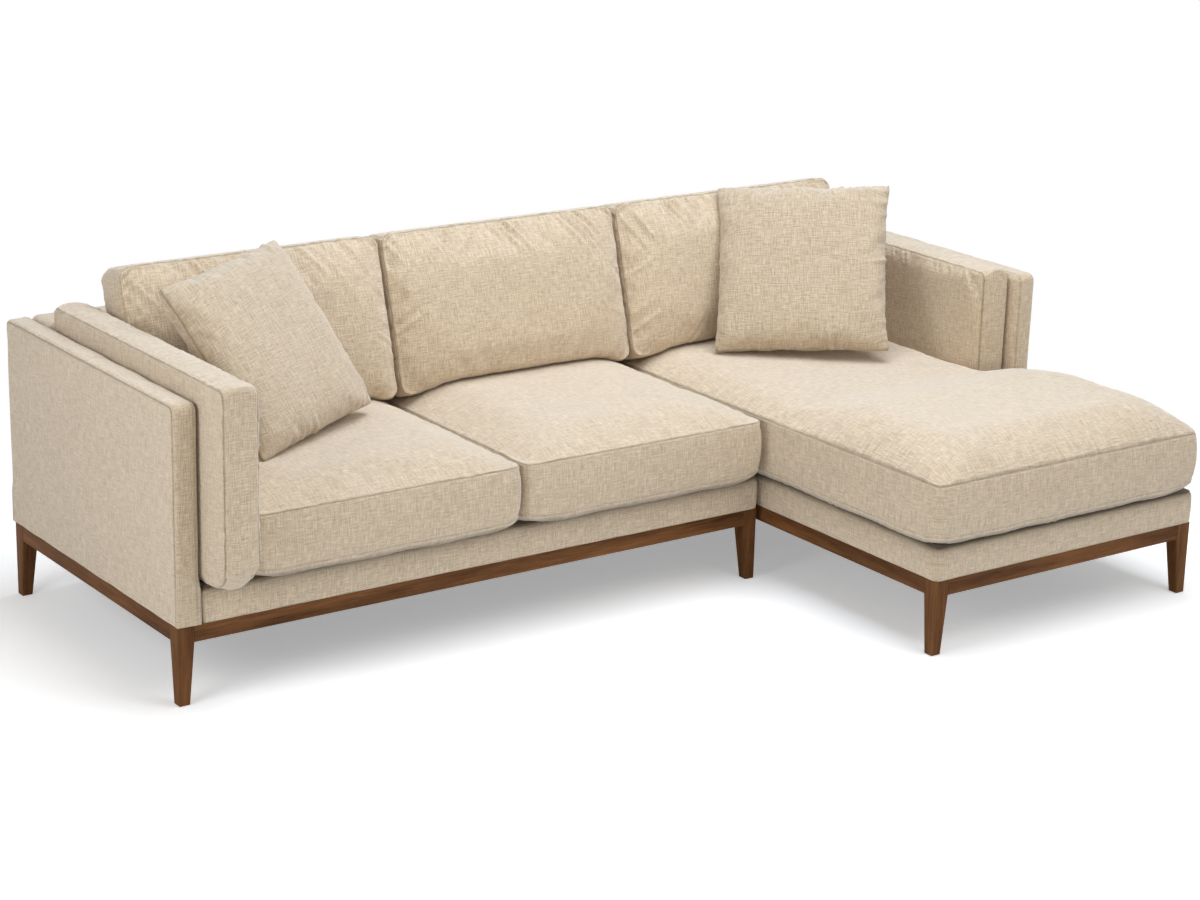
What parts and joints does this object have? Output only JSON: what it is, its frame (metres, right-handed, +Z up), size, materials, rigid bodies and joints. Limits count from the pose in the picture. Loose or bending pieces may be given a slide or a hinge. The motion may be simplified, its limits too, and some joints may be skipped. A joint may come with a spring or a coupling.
{
  "type": "corner sofa",
  "caption": "Linen-covered corner sofa in two modules with loose seat, back, arm and scatter cushions, a chaise on the right and a tapered-leg walnut plinth.",
  "frame": {"origin": "on the floor under the middle of the sofa's bounding box", "axes": "+X along the backs from the left-arm end to the right-arm end as seen from the front, -Y towards the front, +Z up"},
  "size_m": [2.6, 1.6, 0.9329],
  "materials": {
    "oatmeal_linen": "slubby linen weave",
    "walnut": "satin lacquer",
    "frame_pine": "sawn, unfinished",
    "elastic_webbing": "woven elastic",
    "deck_cloth": "needled felt under plain cloth",
    "dust_cloth": "spun-bonded cloth",
    "zinc_steel": "zinc plated"
  },
  "bodies": {
    "main_module": {"arm_panel_left": "oatmeal_linen", "back_panel_main": "oatmeal_linen", "connector_hook_back": "zinc_steel", "connector_hook_front": "zinc_steel", "main_base_back": "frame_pine", "main_base_front": "oatmeal_linen", "main_base_left": "frame_pine", "main_base_right": "oatmeal_linen", "main_block_1": "frame_pine", "main_block_2": "frame_pine", "main_block_3": "frame_pine", "main_block_4": "frame_pine", "main_deck": "deck_cloth", "main_dust_cover": "dust_cloth", "main_leg_back_left": "walnut", "main_leg_back_right": "walnut", "main_leg_front_left": "walnut", "main_leg_front_right": "walnut", "main_rail_back": "walnut", "main_rail_front": "walnut", "main_rail_left": "walnut", "main_rail_right": "walnut", "main_webbing": "elastic_webbing"},
    "chaise_module": {"arm_panel_right": "oatmeal_linen", "back_panel_chaise": "oatmeal_linen", "chaise_base_arm_side": "frame_pine", "chaise_base_back": "frame_pine", "chaise_base_front": "oatmeal_linen", "chaise_base_left": "oatmeal_linen", "chaise_base_right": "oatmeal_linen", "chaise_block_1": "frame_pine", "chaise_block_2": "frame_pine", "chaise_block_3": "frame_pine", "chaise_block_4": "frame_pine", "chaise_deck": "deck_cloth", "chaise_dust_cover": "dust_cloth", "chaise_leg_back_left": "walnut", "chaise_leg_back_right": "walnut", "chaise_leg_front_left": "walnut", "chaise_leg_front_right": "walnut", "chaise_rail_back": "walnut", "chaise_rail_front": "walnut", "chaise_rail_left": "walnut", "chaise_rail_right": "walnut", "chaise_webbing": "elastic_webbing", "connector_socket_back": "zinc_steel", "connector_socket_front": "zinc_steel"},
    "seat_cushion_left": {"seat_cushion_left": "oatmeal_linen"},
    "seat_cushion_right": {"seat_cushion_right": "oatmeal_linen"},
    "back_cushion_left": {"back_cushion_left": "oatmeal_linen"},
    "back_cushion_middle": {"back_cushion_middle": "oatmeal_linen"},
    "back_cushion_right": {"back_cushion_right": "oatmeal_linen"},
    "arm_pad_left": {"arm_pad_left": "oatmeal_linen"},
    "arm_pad_right": {"arm_pad_right": "oatmeal_linen"},
    "chaise_cushion": {"chaise_cushion": "oatmeal_linen"},
    "pillow_left": {"pillow_left": "oatmeal_linen"},
    "pillow_right": {"pillow_right": "oatmeal_linen"}
  },
  "joints": [
    {"name": "chaise_module_lift", "type": "slide", "parent": "main_module", "child": "chaise_module", "axis": [0, 0, 1], "range_m": [0, 0.1]},
    {"name": "seat_cushion_left_pull", "type": "slide", "parent": "main_module", "child": "seat_cushion_left", "axis": [0, -1, 0], "range_m": [0, 0.35]},
    {"name": "seat_cushion_right_pull", "type": "slide", "parent": "main_module", "child": "seat_cushion_right", "axis": [0, -1, 0], "range_m": [0, 0.35]},
    {"name": "chaise_cushion_pull", "type": "slide", "parent": "chaise_module", "child": "chaise_cushion", "axis": [0, -1, 0], "range_m": [0, 0.3]},
    {"name": "arm_pad_left_lift", "type": "slide", "parent": "main_module", "child": "arm_pad_left", "axis": [0, 0, 1], "range_m": [0, 0.25]},
    {"name": "arm_pad_right_lift", "type": "slide", "parent": "chaise_module", "child": "arm_pad_right", "axis": [0, 0, 1], "range_m": [0, 0.25]},
    {"name": "back_cushion_left_lift", "type": "slide", "parent": "main_module", "child": "back_cushion_left", "axis": [0, 0, 1], "range_m": [0, 0.25]},
    {"name": "back_cushion_middle_lift", "type": "slide", "parent": "main_module", "child": "back_cushion_middle", "axis": [0, 0, 1], "range_m": [0, 0.25]},
    {"name": "back_cushion_right_lift", "type": "slide", "parent": "chaise_module", "child": "back_cushion_right", "axis": [0, 0, 1], "range_m": [0, 0.25]},
    {"name": "pillow_left_lift", "type": "slide", "parent": "back_cushion_left", "child": "pillow_left", "axis": [0, 0, 1], "range_m": [0, 0.25]},
    {"name": "pillow_right_lift", "type": "slide", "parent": "back_cushion_right", "child": "pillow_right", "axis": [0, 0, 1], "range_m": [0, 0.25]}
  ]
}
